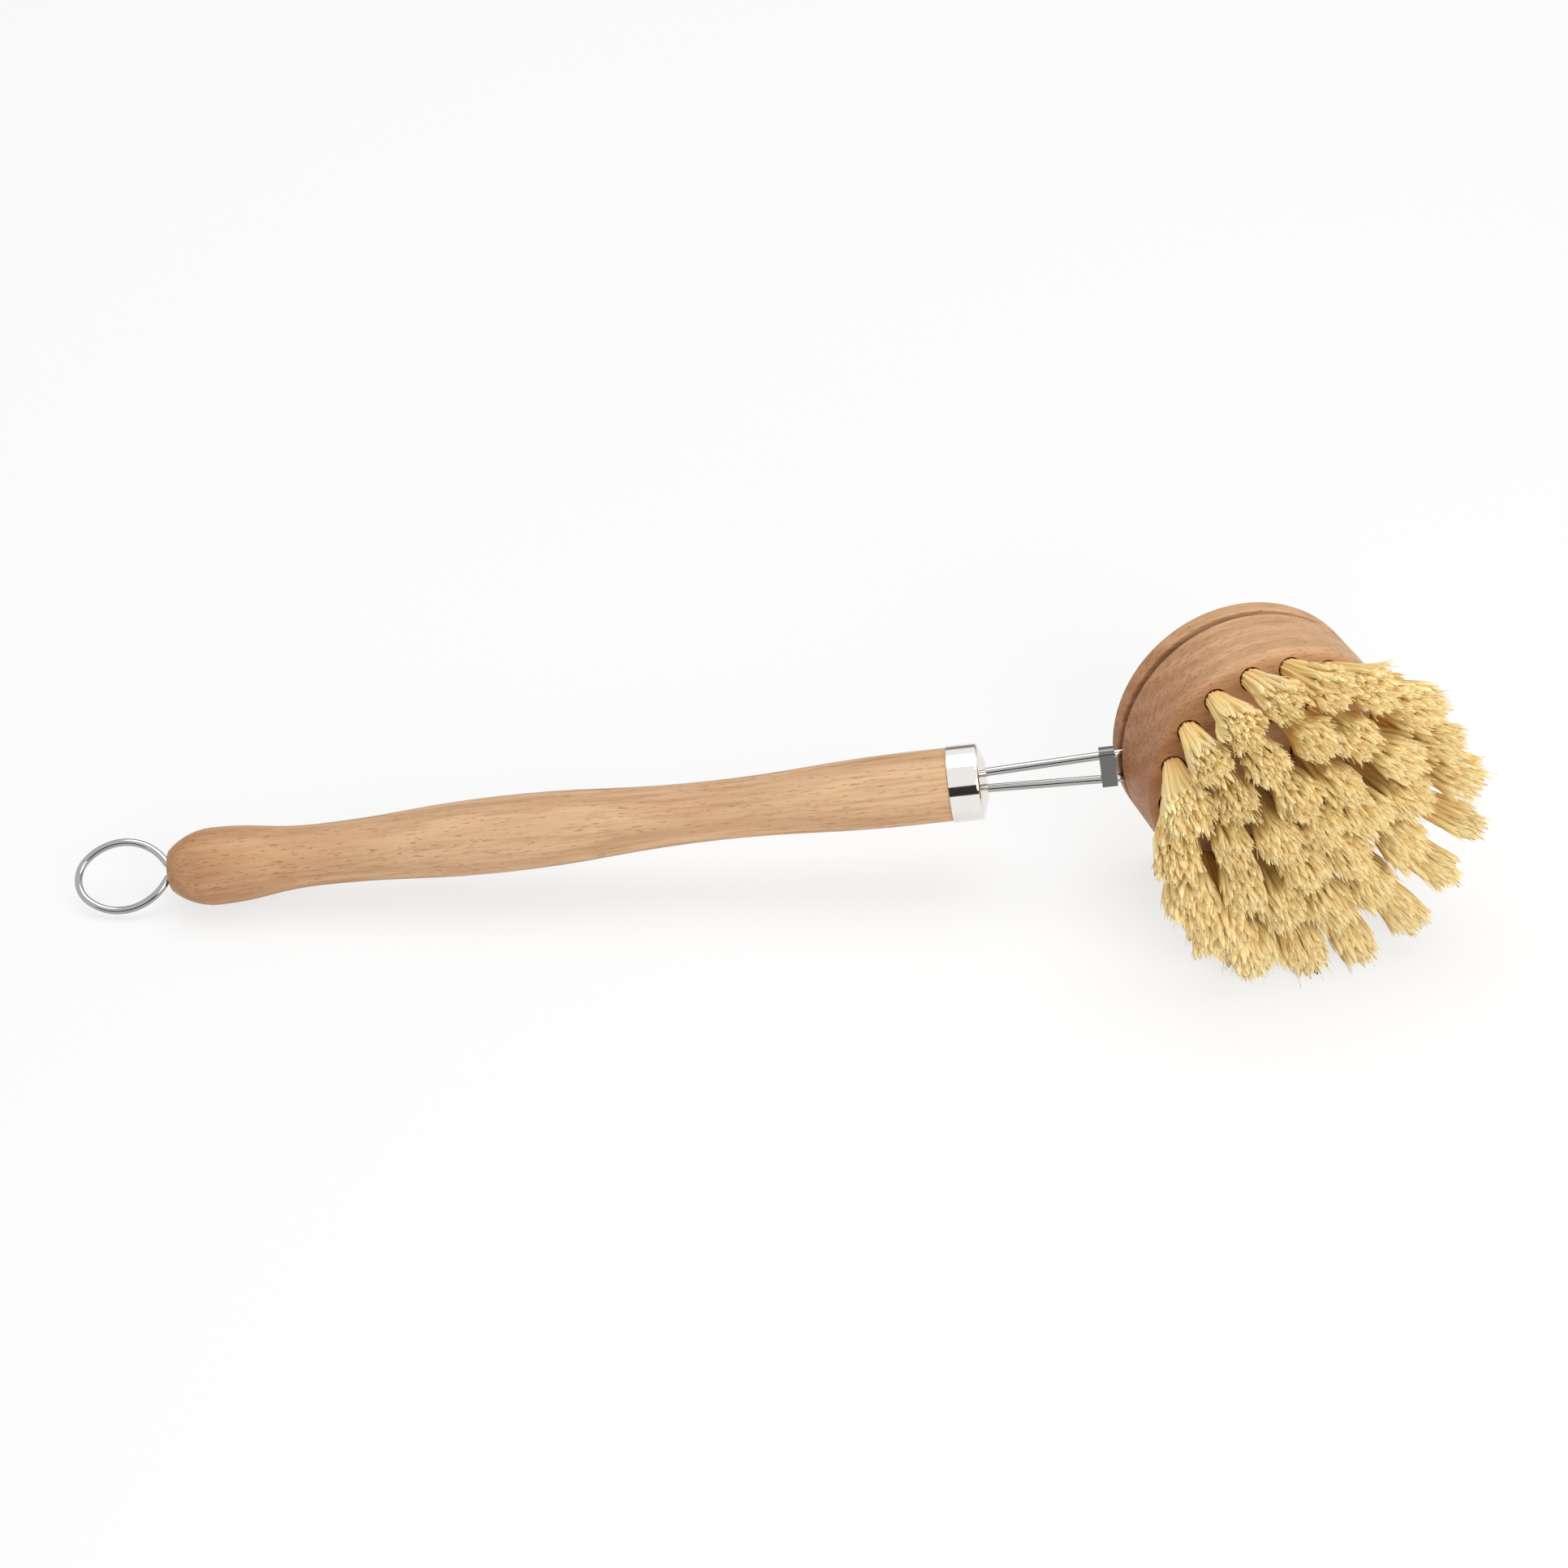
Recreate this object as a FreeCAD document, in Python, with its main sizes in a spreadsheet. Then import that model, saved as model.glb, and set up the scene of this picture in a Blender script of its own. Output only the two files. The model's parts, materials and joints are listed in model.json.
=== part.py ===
import FreeCAD, Part
import Sketcher
import math
import os

Vector = FreeCAD.Vector
Rotation = FreeCAD.Rotation
Placement = FreeCAD.Placement

# A washing-up brush with an exchangeable round head, lying on its side.
# Construction frame: X runs along the handle towards the head with zero at the front face of the
# wood, the bristles point to -Y, and Z is across the brush. All lengths are in millimetres.

doc = FreeCAD.newDocument("dish_brush")
sheet = doc.addObject("Spreadsheet::Sheet", "sizes")

SIZES = {
    # turned wooden handle: the bulb and rear waist are measured from its rear end, the front waist
    # and shoulder back from its front, and the belly as a share of its length
    "handle_length": 158.7,
    "handle_end_dia": 8.4,
    "bulb_dia": 15.1,
    "bulb_at": 8.7,
    "rear_waist_dia": 11.9,
    "rear_waist_at": 29.0,
    "belly_dia": 14.7,
    "belly_ratio": 0.4146,
    "front_waist_dia": 11.45,
    "front_waist_setback": 51.5,
    "shoulder_dia": 13.95,
    "shoulder_setback": 14.0,
    # pressed metal cap on the front of the handle
    "ferrule_skirt": 6.6,
    "ferrule_wall": 0.4,
    "ferrule_proud": 0.4,
    "ferrule_corner": 0.7,
    "nose_rise": 1.3,
    "nose_flat_dia": 7.0,
    "ferrule_fit": 0.05,
    # the two spring wires that carry the head
    "wire_dia": 1.6,
    "wire_bend": 1.9,
    "wire_end_round": 0.4,
    "leg_root_gap": 3.5,
    "leg_head_gap": 5.3,
    "leg_length": 25.1,
    "knee_gap": 0.5,
    "knee_bend": 2.0,
    "tang_length": 8.0,
    "ring_end_gap": 8.0,
    "wire_hole_fit": 0.12,
    "bore_fit": 0.15,
    "bore_room": 1.5,
    # sheet-metal sleeve that locks the wires
    "sleeve_length": 2.9,
    "sleeve_wall": 0.4,
    "sleeve_corner": 0.7,
    "sleeve_fit": 0.15,
    "sleeve_side_room": 0.25,
    "sleeve_knee_gap": 0.1,
    "sleeve_seam": 0.25,
    # turned wooden head
    "head_dia": 50.0,
    "head_depth": 26.0,
    "head_lean_angle": 16.5,
    "flange_depth": 4.05,
    "flange_edge": 1.2,
    "groove_depth": 3.0,
    "groove_side_fit": 0.2,
    "groove_edge": 0.4,
    "ring_fit": 0.15,
    "dome_radius": 78.0,
    "face_edge": 1.5,
    # fibre tufts, set in rings square to the domed face
    "tuft_rings": 3,
    "tufts_per_step": 6,
    "tuft_rim_gap": 3.55,
    "tuft_hole_dia": 4.6,
    "tuft_hole_depth": 11.0,
    "tuft_fit": 0.1,
    "tuft_length": 21.5,
    "tuft_tip_gap": 0.42,
    # metal strips that the fibres are folded around
    "anchor_height": 1.6,
    "anchor_thickness": 0.35,
    "anchor_bite": 0.25,
    "anchor_fit": 0.05,
    "fold_thickness": 0.8,
    # bent wire eye at the rear end
    "loop_wire_dia": 1.5,
    "loop_neck_gap": 2.2,
    "loop_bend": 1.6,
    "loop_width": 15.1,
    "loop_reach": 19.8,
    "loop_end_ratio": 0.8,
    "loop_tang": 10.0,
    "loop_fit": 0.1,
    "loop_room": 1.0,
    "loop_roll_angle": 45.0,
}

for row, (alias, value) in enumerate(SIZES.items(), start=1):
    sheet.set("A%d" % row, alias.replace("_", " "))
    sheet.set("B%d" % row, str(value))
    sheet.setAlias("B%d" % row, alias)
doc.recompute()


def size(alias):
    return float(sheet.get(alias))


def number(formula):
    return float(sheet.evalExpression(formula))


def origin_feature(body, role):
    return [item for item in body.Origin.OriginFeatures if item.Role == role][0]


def new_body(name):
    body = doc.addObject("PartDesign::Body", name)
    body.Label = name
    return body


def new_sketch(body, name, role, offset=None):
    sketch = body.newObject("Sketcher::SketchObject", name)
    sketch.AttachmentSupport = [(origin_feature(body, role), "")]
    sketch.MapMode = "FlatFace"
    if offset:
        sketch.setExpression("AttachmentOffset.Base.z", offset)
    return sketch


def bind(sketch, index, name, formula):
    sketch.renameConstraint(index, name)
    sketch.setExpression("Constraints." + name, formula)


def pin_point(sketch, geo, pos, name, across, along):
    # Holds one sketch point at two formulas of the sheet, or on an axis where the formula is zero.
    for axis, kind, formula in ((-2, "DistanceX", across), (-1, "DistanceY", along)):
        if formula == "0":
            sketch.addConstraint(Sketcher.Constraint("PointOnObject", geo, pos, axis))
            continue
        index = sketch.addConstraint(Sketcher.Constraint(kind, -1, 1, geo, pos, number(formula)))
        bind(sketch, index, name + ("_across" if kind == "DistanceX" else "_along"), formula)


def draw_outline(sketch, corners):
    # Closed outline. Each corner is (name, across, along) and starts a straight line to the next,
    # or (name, across, along, radius, side) and starts an arc whose centre is left (1) or right (-1).
    points = [Vector(number(item[1]), number(item[2]), 0) for item in corners]
    heads = []
    tails = []
    for i, item in enumerate(corners):
        start = points[i]
        end = points[(i + 1) % len(points)]
        if len(item) == 3:
            geo = sketch.addGeometry(Part.LineSegment(start, end), False)
            heads.append((geo, 1))
            tails.append((geo, 2))
            continue
        radius = number(item[3])
        chord = end - start
        left = Vector(-chord.y, chord.x, 0).normalize()
        rise = math.sqrt(max(radius * radius - chord.Length ** 2 / 4, 0))
        centre = (start + end) * 0.5 + left * (item[4] * rise)
        turn_from, turn_to = (start, end) if item[4] > 0 else (end, start)
        angle_from = math.atan2(turn_from.y - centre.y, turn_from.x - centre.x)
        angle_to = math.atan2(turn_to.y - centre.y, turn_to.x - centre.x)
        circle = Part.Circle(centre, Vector(0, 0, 1), radius)
        geo = sketch.addGeometry(Part.ArcOfCircle(circle, angle_from, angle_to), False)
        heads.append((geo, 1 if item[4] > 0 else 2))
        tails.append((geo, 2 if item[4] > 0 else 1))
        index = sketch.addConstraint(Sketcher.Constraint("Radius", geo, radius))
        bind(sketch, index, item[0] + "_radius", item[3])
    for i, item in enumerate(corners):
        geo, pos = heads[i]
        last_geo, last_pos = tails[i - 1]
        sketch.addConstraint(Sketcher.Constraint("Coincident", last_geo, last_pos, geo, pos))
        pin_point(sketch, geo, pos, item[0], item[1], item[2])


def draw_circle(sketch, name, across, along, radius):
    centre = Vector(number(across), number(along), 0)
    geo = sketch.addGeometry(Part.Circle(centre, Vector(0, 0, 1), number(radius)), False)
    index = sketch.addConstraint(Sketcher.Constraint("Radius", geo, number(radius)))
    bind(sketch, index, name + "_radius", radius)
    pin_point(sketch, geo, 3, name, across, along)


def revolve(body, sketch, axis):
    feature = body.newObject("PartDesign::Revolution", body.Name + "_turned")
    feature.Profile = sketch
    feature.ReferenceAxis = (sketch, [axis])
    feature.Angle = 360.0
    sketch.Visibility = False
    doc.recompute()
    return feature


def pocket(body, name, sketch, depth=None, backwards=False):
    # Cuts a sketch into the body, to a depth or right through, and makes sure that it removed material.
    before = body.Shape.Volume
    feature = body.newObject("PartDesign::Pocket", name)
    feature.Profile = sketch
    feature.Reversed = backwards
    if depth:
        feature.setExpression("Length", depth)
    else:
        feature.Type = "ThroughAll"
    doc.recompute()
    if body.Shape.Volume >= before:
        raise RuntimeError(name + " removed nothing")
    return feature


def wave(start, end, falling):
    # Two equal tangent arcs that lead from one crest or waist of the handle to the next.
    dia_from = "sizes.%s_dia" % start
    dia_to = "sizes.%s_dia" % end
    rise = "((%s - %s) / 2)" % ((dia_from, dia_to) if falling else (dia_to, dia_from))
    run = "(%s - %s)" % (STATIONS[end], STATIONS[start])
    radius = "(%s * %s + %s * %s) / (4 * %s)" % (run, run, rise, rise, rise)
    middle_at = "(%s + %s) / 2" % (STATIONS[start], STATIONS[end])
    middle_radius = "(%s + %s) / 4" % (dia_from, dia_to)
    first, second = (-1, 1) if falling else (1, -1)
    return [
        (start, STATIONS[start], dia_from + " / 2", radius, first),
        (start + "_turn", middle_at, middle_radius, radius, second),
    ]


def sweep_wire(name, edges, diameter):
    # Round wire along a path of tangent lines and arcs.
    path = doc.addObject("Part::Feature", name + "_path")
    path.Shape = Part.Wire(edges)
    section = doc.addObject("Part::Circle", name + "_section")
    section.setExpression("Radius", "sizes.%s / 2" % diameter)
    start = edges[0].valueAt(edges[0].FirstParameter)
    tangent = edges[0].tangentAt(edges[0].FirstParameter)
    section.Placement = Placement(start, Rotation(Vector(0, 0, 1), tangent))
    swept = doc.addObject("Part::Sweep", name + "_swept")
    swept.Sections = [section]
    swept.Spine = (path, ["Edge%d" % (i + 1) for i in range(len(edges))])
    swept.Solid = True
    swept.Frenet = False
    doc.recompute()
    wanted = math.pi * (size(diameter) / 2) ** 2 * path.Shape.Length
    if abs(swept.Shape.Volume - wanted) > 0.01 * wanted:
        raise RuntimeError(name + " has the wrong volume")
    return swept


def round_ends(name, swept, radius):
    # Rounds the rim of both cut ends of a wire.
    ends = [face for face in swept.Shape.Faces if face.Surface.isDerivedFrom("Part::GeomPlane")]
    rims = []
    for index, edge in enumerate(swept.Shape.Edges, start=1):
        if any(edge.isSame(rim) for face in ends for rim in face.Edges):
            rims.append((index, radius, radius))
    rounded = doc.addObject("Part::Fillet", name)
    rounded.Label = name
    rounded.Base = swept
    rounded.Edges = rims
    doc.recompute()
    return rounded


def line(start, end):
    return Part.LineSegment(start, end).toShape()


def arc(start, middle, end):
    return Part.Arc(start, middle, end).toShape()


parts = {}

# Directions of the head: the bristles lean forwards, and the ring plane holds "away" and "side_axis".
lean = math.radians(size("head_lean_angle"))
bristle_axis = Vector(math.sin(lean), -math.cos(lean), 0)
away = Vector(math.cos(lean), math.sin(lean), 0)
side_axis = Vector(0, 0, 1)

# Handle: waves between crests and waists, a flat rear end and a seat for the cap.
SEAT = "(sizes.shoulder_dia / 2 + sizes.ferrule_proud - sizes.ferrule_wall - sizes.ferrule_fit)"
BULB_RISE = "((sizes.bulb_dia - sizes.handle_end_dia) / 2)"
END_ARC = "((sizes.bulb_at * sizes.bulb_at + %s * %s) / (2 * %s))" % (BULB_RISE, BULB_RISE, BULB_RISE)
STEP_AT = "sizes.handle_length - sizes.ferrule_skirt"
STATIONS = {
    "bulb": "sizes.bulb_at",
    "rear_waist": "sizes.rear_waist_at",
    "belly": "(sizes.handle_length * sizes.belly_ratio)",
    "front_waist": "(sizes.handle_length - sizes.front_waist_setback)",
    "shoulder": "(sizes.handle_length - sizes.shoulder_setback)",
}

handle = new_body("handle")
outline = new_sketch(handle, "handle_outline", "XY_Plane")
corners = [
    ("rear_centre", "0", "0"),
    ("rear_edge", "0", "sizes.handle_end_dia / 2", END_ARC, -1),
]
corners += wave("bulb", "rear_waist", True)
corners += wave("rear_waist", "belly", False)
corners += wave("belly", "front_waist", True)
corners += wave("front_waist", "shoulder", False)
corners += [
    ("shoulder", STATIONS["shoulder"], "sizes.shoulder_dia / 2"),
    ("step_top", STEP_AT, "sizes.shoulder_dia / 2"),
    ("step_foot", STEP_AT, SEAT),
    ("nose_foot", "sizes.handle_length - sizes.nose_rise", SEAT),
    ("front_edge", "sizes.handle_length", "sizes.nose_flat_dia / 2"),
    ("front_centre", "sizes.handle_length", "0"),
]
draw_outline(outline, corners)
revolve(handle, outline, "H_Axis")

bore = new_sketch(handle, "wire_bore", "YZ_Plane", "sizes.handle_length")
draw_circle(bore, "bore", "0", "0", "(sizes.leg_root_gap + sizes.wire_dia) / 2 + sizes.bore_fit")
pocket(handle, "wire_bore_cut", bore, "sizes.tang_length + sizes.bore_room")
hole = new_sketch(handle, "loop_hole", "YZ_Plane")
draw_circle(hole, "loop_hole", "0", "0", "(sizes.loop_neck_gap + sizes.loop_wire_dia) / 2 + sizes.loop_fit")
pocket(handle, "loop_hole_cut", hole, "sizes.loop_tang + sizes.loop_room", True)
parts["handle"] = (handle, Placement(Vector(-size("handle_length"), 0, 0), Rotation()))

# Ferrule: a cup with a low conical nose, pushed over the seat, and two holes for the wires.
CUP = "(sizes.shoulder_dia / 2 + sizes.ferrule_proud)"
CUP_IN = "(%s - sizes.ferrule_wall)" % CUP
CAP_IN = "(sizes.ferrule_skirt + sizes.ferrule_fit)"
CAP_OUT = "(%s + sizes.ferrule_wall)" % CAP_IN
NOSE_DROP = "(%s - sizes.nose_flat_dia / 2)" % CUP
NOSE_SLANT = "sqrt(sizes.nose_rise * sizes.nose_rise + %s * %s)" % (NOSE_DROP, NOSE_DROP)
CORNER_TRIM = "(sizes.ferrule_corner * (%s - sizes.nose_rise) / %s)" % (NOSE_SLANT, NOSE_DROP)
NOSE_FOOT = "(%s - sizes.nose_rise)" % CAP_OUT
ferrule = new_body("ferrule")
outline = new_sketch(ferrule, "ferrule_outline", "XY_Plane")
draw_outline(outline, [
    ("skirt_in", "0", CUP_IN),
    ("skirt_out", "0", CUP),
    ("corner_from", "%s - %s" % (NOSE_FOOT, CORNER_TRIM), CUP, "sizes.ferrule_corner", -1),
    ("corner_to", "%s + %s * sizes.nose_rise / %s" % (NOSE_FOOT, CORNER_TRIM, NOSE_SLANT),
     "%s - %s * %s / %s" % (CUP, CORNER_TRIM, NOSE_DROP, NOSE_SLANT)),
    ("cap_out", CAP_OUT, "sizes.nose_flat_dia / 2"),
    ("cap_middle_out", CAP_OUT, "0"),
    ("cap_middle_in", CAP_IN, "0"),
    ("cap_in", CAP_IN, "sizes.nose_flat_dia / 2"),
    ("nose_in", CAP_IN + " - sizes.nose_rise", CUP_IN),
])
revolve(ferrule, outline, "H_Axis")
holes = new_sketch(ferrule, "wire_holes", "YZ_Plane", CAP_OUT)
HOLE_RADIUS = "sizes.wire_dia / 2 + sizes.wire_hole_fit"
draw_circle(holes, "upper_hole", "0", "sizes.leg_root_gap / 2", HOLE_RADIUS)
draw_circle(holes, "lower_hole", "0", "-sizes.leg_root_gap / 2", HOLE_RADIUS)
pocket(ferrule, "wire_holes_cut", holes, "sizes.ferrule_wall * 2")
parts["ferrule"] = (ferrule, Placement(Vector(-size("ferrule_skirt"), 0, 0), Rotation()))

# Ring plane: the legs bend into it at a knee just outside the rim and join the ring at an elbow.
wire_radius = size("wire_dia") / 2
groove_floor = size("head_dia") / 2 - size("groove_depth")
ring_radius = groove_floor + size("ring_fit") + wire_radius
leg_half = size("leg_head_gap") / 2
root_half = size("leg_root_gap") / 2
ring_start = math.asin((leg_half + size("wire_bend")) / ring_radius)
ring_stop = math.pi - math.asin(size("ring_end_gap") / 2 / ring_radius)
elbow_reach = (ring_radius - leg_half * math.sin(ring_start)) / math.cos(ring_start)
knee_reach = size("head_dia") / 2 + size("knee_gap")
ring_centre = Vector(size("leg_length"), 0, 0) + away * knee_reach
spread = (leg_half - root_half) / size("leg_length")


def bent_corner(corner, before, after, radius):
    # Start, middle and end of the arc that rounds the corner between two directions of a wire.
    turn = before.getAngle(after)
    trim = radius * math.tan(turn / 2)
    inwards = (after - before).normalize()
    middle = corner + inwards * (radius / math.cos(turn / 2) - radius)
    return corner - before * trim, middle, corner + after * trim


def wire_arm(name, side):
    # One wire: tang, leg, knee, elbow and almost half of the ring, on the upper (1) or lower (-1) side.
    outwards = side_axis * side

    def on_ring(turn):
        return ring_centre - away * (ring_radius * math.cos(turn)) + outwards * (ring_radius * math.sin(turn))

    leg = (Vector(1, 0, 0) + outwards * spread).normalize()
    tangent = away * math.sin(ring_start) + outwards * math.cos(ring_start)
    knee = Vector(size("leg_length"), 0, 0) + outwards * leg_half
    elbow = ring_centre - away * elbow_reach + outwards * leg_half
    tang_end = knee - leg * ((size("leg_length") + size("tang_length")) / leg.x)
    knee_from, knee_middle, knee_to = bent_corner(knee, leg, away, size("knee_bend"))
    elbow_from, elbow_middle, elbow_to = bent_corner(elbow, away, tangent, size("wire_bend"))
    ring_from = on_ring(ring_start)
    edges = [
        line(tang_end, knee_from),
        arc(knee_from, knee_middle, knee_to),
        line(knee_to, elbow_from),
        arc(elbow_from, elbow_middle, elbow_to),
        line(elbow_to, ring_from),
        arc(ring_from, on_ring((ring_start + ring_stop) / 2), on_ring(ring_stop)),
    ]
    swept = sweep_wire(name, edges, "wire_dia")
    parts[name] = (round_ends(name, swept, size("wire_end_round")), Placement())
    return knee_from.x


knee_start = wire_arm("upper_wire_arm", 1)
wire_arm("lower_wire_arm", -1)

# Locking sleeve: a flattened tube of folded strip around both legs, with its seam on the back.
sleeve_from = knee_start - size("sleeve_knee_gap") - size("sleeve_length")
HALF_HIGH = "(sizes.wire_dia / 2 + sizes.sleeve_fit)"
HALF_WIDE = "(sizes.leg_head_gap / 2 + sizes.wire_dia / 2 + sizes.sleeve_side_room)"
WALL = "sizes.sleeve_wall"
QUARTERS = [("a", "", "", True), ("b", "-", "", False), ("c", "-", "-", True), ("d", "", "-", False)]
sleeve = new_body("locking_sleeve")


def draw_rounded_box(sketch, name, half_high, half_wide, corner):
    # Four rounded corners in turn, each with the sign of its side and the flat that it starts from.
    corners = []
    for label, high, wide, flat_first in QUARTERS:
        near_high = "%s(%s - %s)" % (high, half_high, corner)
        near_wide = "%s(%s - %s)" % (wide, half_wide, corner)
        flat = (high + half_high, near_wide)
        upright = (near_high, wide + half_wide)
        first, second = (flat, upright) if flat_first else (upright, flat)
        corners.append((name + "_" + label + "_from",) + first + (corner, 1))
        corners.append((name + "_" + label + "_to",) + second)
    draw_outline(sketch, corners)


outline = new_sketch(sleeve, "sleeve_outline", "YZ_Plane")
OUTER_HIGH = "(%s + %s)" % (HALF_HIGH, WALL)
OUTER_WIDE = "(%s + %s)" % (HALF_WIDE, WALL)
draw_rounded_box(outline, "outer", OUTER_HIGH, OUTER_WIDE, "(sizes.sleeve_corner + %s)" % WALL)
draw_rounded_box(outline, "inner", HALF_HIGH, HALF_WIDE, "sizes.sleeve_corner")
pad = sleeve.newObject("PartDesign::Pad", "sleeve_tube")
pad.Profile = outline
pad.setExpression("Length", "sizes.sleeve_length")
doc.recompute()
seam = new_sketch(sleeve, "sleeve_seam", "YZ_Plane")
draw_outline(seam, [
    ("seam_a", HALF_HIGH + " - %s" % WALL, "-sizes.sleeve_seam / 2"),
    ("seam_b", HALF_HIGH + " + 2 * %s" % WALL, "-sizes.sleeve_seam / 2"),
    ("seam_c", HALF_HIGH + " + 2 * %s" % WALL, "sizes.sleeve_seam / 2"),
    ("seam_d", HALF_HIGH + " - %s" % WALL, "sizes.sleeve_seam / 2"),
])
pocket(sleeve, "sleeve_seam_cut", seam, None, True)
parts["locking_sleeve"] = (sleeve, Placement(Vector(sleeve_from, 0, 0), Rotation()))

# Head: flange, groove for the wire ring, straight side and a domed face. Its own frame has Z along
# the bristles, with zero at the flat back, and X away from the handle.
RIM = "(sizes.head_dia / 2)"
EDGE = "sizes.groove_edge"
GROOVE_FROM = "sizes.flange_depth"
GROOVE_WIDE = "(sizes.wire_dia + 2 * sizes.groove_side_fit)"
GROOVE_TO = "(sizes.flange_depth + %s)" % GROOVE_WIDE
FLOOR = "(%s - sizes.groove_depth)" % RIM
FOCUS = "(sizes.head_depth - sizes.dome_radius)"
EDGE_IN = "(%s - sizes.face_edge)" % RIM
DOME_IN = "(sizes.dome_radius - sizes.face_edge)"
EDGE_RISE = "sqrt(%s * %s - %s * %s)" % (DOME_IN, DOME_IN, EDGE_IN, EDGE_IN)
head = new_body("head_block")
outline = new_sketch(head, "head_outline", "XZ_Plane")
draw_outline(outline, [
    ("back_centre", "0", "0"),
    ("back_edge", RIM + " - sizes.flange_edge", "0", "sizes.flange_edge", 1),
    ("flange_side", RIM, "sizes.flange_edge"),
    ("flange_lip", RIM, GROOVE_FROM + " - " + EDGE, EDGE, 1),
    ("groove_back", RIM + " - " + EDGE, GROOVE_FROM),
    ("floor_back", FLOOR, GROOVE_FROM),
    ("floor_front", FLOOR, GROOVE_TO),
    ("groove_front", RIM + " - " + EDGE, GROOVE_TO, EDGE, 1),
    ("side_from", RIM, GROOVE_TO + " + " + EDGE),
    ("side_to", RIM, "%s + %s" % (FOCUS, EDGE_RISE), "sizes.face_edge", 1),
    ("dome_edge", EDGE_IN + " * sizes.dome_radius / " + DOME_IN,
     "%s + %s * sizes.dome_radius / %s" % (FOCUS, EDGE_RISE, DOME_IN), "sizes.dome_radius", 1),
    ("dome_top", "0", "sizes.head_depth"),
])
revolve(head, outline, "V_Axis")

back_centre = ring_centre - bristle_axis * (size("flange_depth") + number(GROOVE_WIDE) / 2)
head_frame = Placement(back_centre, Rotation(away, side_axis, bristle_axis, "ZXY"))
focus = Vector(0, 0, number(FOCUS))


# Tufts: the outer ring keeps its distance from the rim, and the flares stay clear of each other.
TUFT_PITCH = "((%s - sizes.tuft_rim_gap) / sizes.tuft_rings)" % RIM
TIP_SPREAD = "(1 + sizes.tuft_length / sizes.dome_radius)"
TIP_RADIUS = "((%s * %s - sizes.tuft_tip_gap) / 2)" % (TUFT_PITCH, TIP_SPREAD)
tuft_pitch = number(TUFT_PITCH)
tip_radius = number(TIP_RADIUS)


def tuft_frame(radius, turn):
    # Frame at the mouth of a hole: Z out of the dome, Y along the ring.
    tilt = math.degrees(math.asin(radius / size("dome_radius")))
    swing = Rotation(Vector(0, 0, 1), turn) * Rotation(Vector(0, 1, 0), tilt)
    return Placement(focus + swing.multVec(Vector(0, 0, size("dome_radius"))), swing)


tuft_places = [("tuft_centre", tuft_frame(0, 0))]
ring_names = {1: "inner", 2: "middle", 3: "outer"}
for ring in range(1, int(size("tuft_rings")) + 1):
    count = ring * int(size("tufts_per_step"))
    for i in range(count):
        name = "tuft_%s_%02d" % (ring_names.get(ring, "ring_%d" % ring), i + 1)
        tuft_places.append((name, tuft_frame(ring * tuft_pitch, 360.0 * i / count)))


def drill_tuft_hole(name, frame):
    before = head.Shape.Volume
    cutter = head.newObject("PartDesign::SubtractiveCylinder", name)
    cutter.setExpression("Radius", "sizes.tuft_hole_dia / 2")
    cutter.setExpression("Height", "sizes.tuft_hole_depth + sizes.tuft_hole_dia")
    cutter.Placement = frame * Placement(Vector(0, 0, -size("tuft_hole_depth")), Rotation())
    doc.recompute()
    if head.Shape.Volume >= before:
        raise RuntimeError(name + " removed nothing")
    return cutter


drill_tuft_hole("hole_centre", tuft_frame(0, 0))
for ring in range(1, int(size("tuft_rings")) + 1):
    first = drill_tuft_hole("hole_ring_%d" % ring, tuft_frame(ring * tuft_pitch, 0))
    around = head.newObject("PartDesign::PolarPattern", "hole_ring_%d_pattern" % ring)
    around.Originals = [first]
    around.Axis = (origin_feature(head, "Z_Axis"), [""])
    around.Angle = 360.0
    around.setExpression("Occurrences", "%d * sizes.tufts_per_step" % ring)
    head.Tip = around
    doc.recompute()
parts["head_block"] = (head, head_frame)

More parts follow.
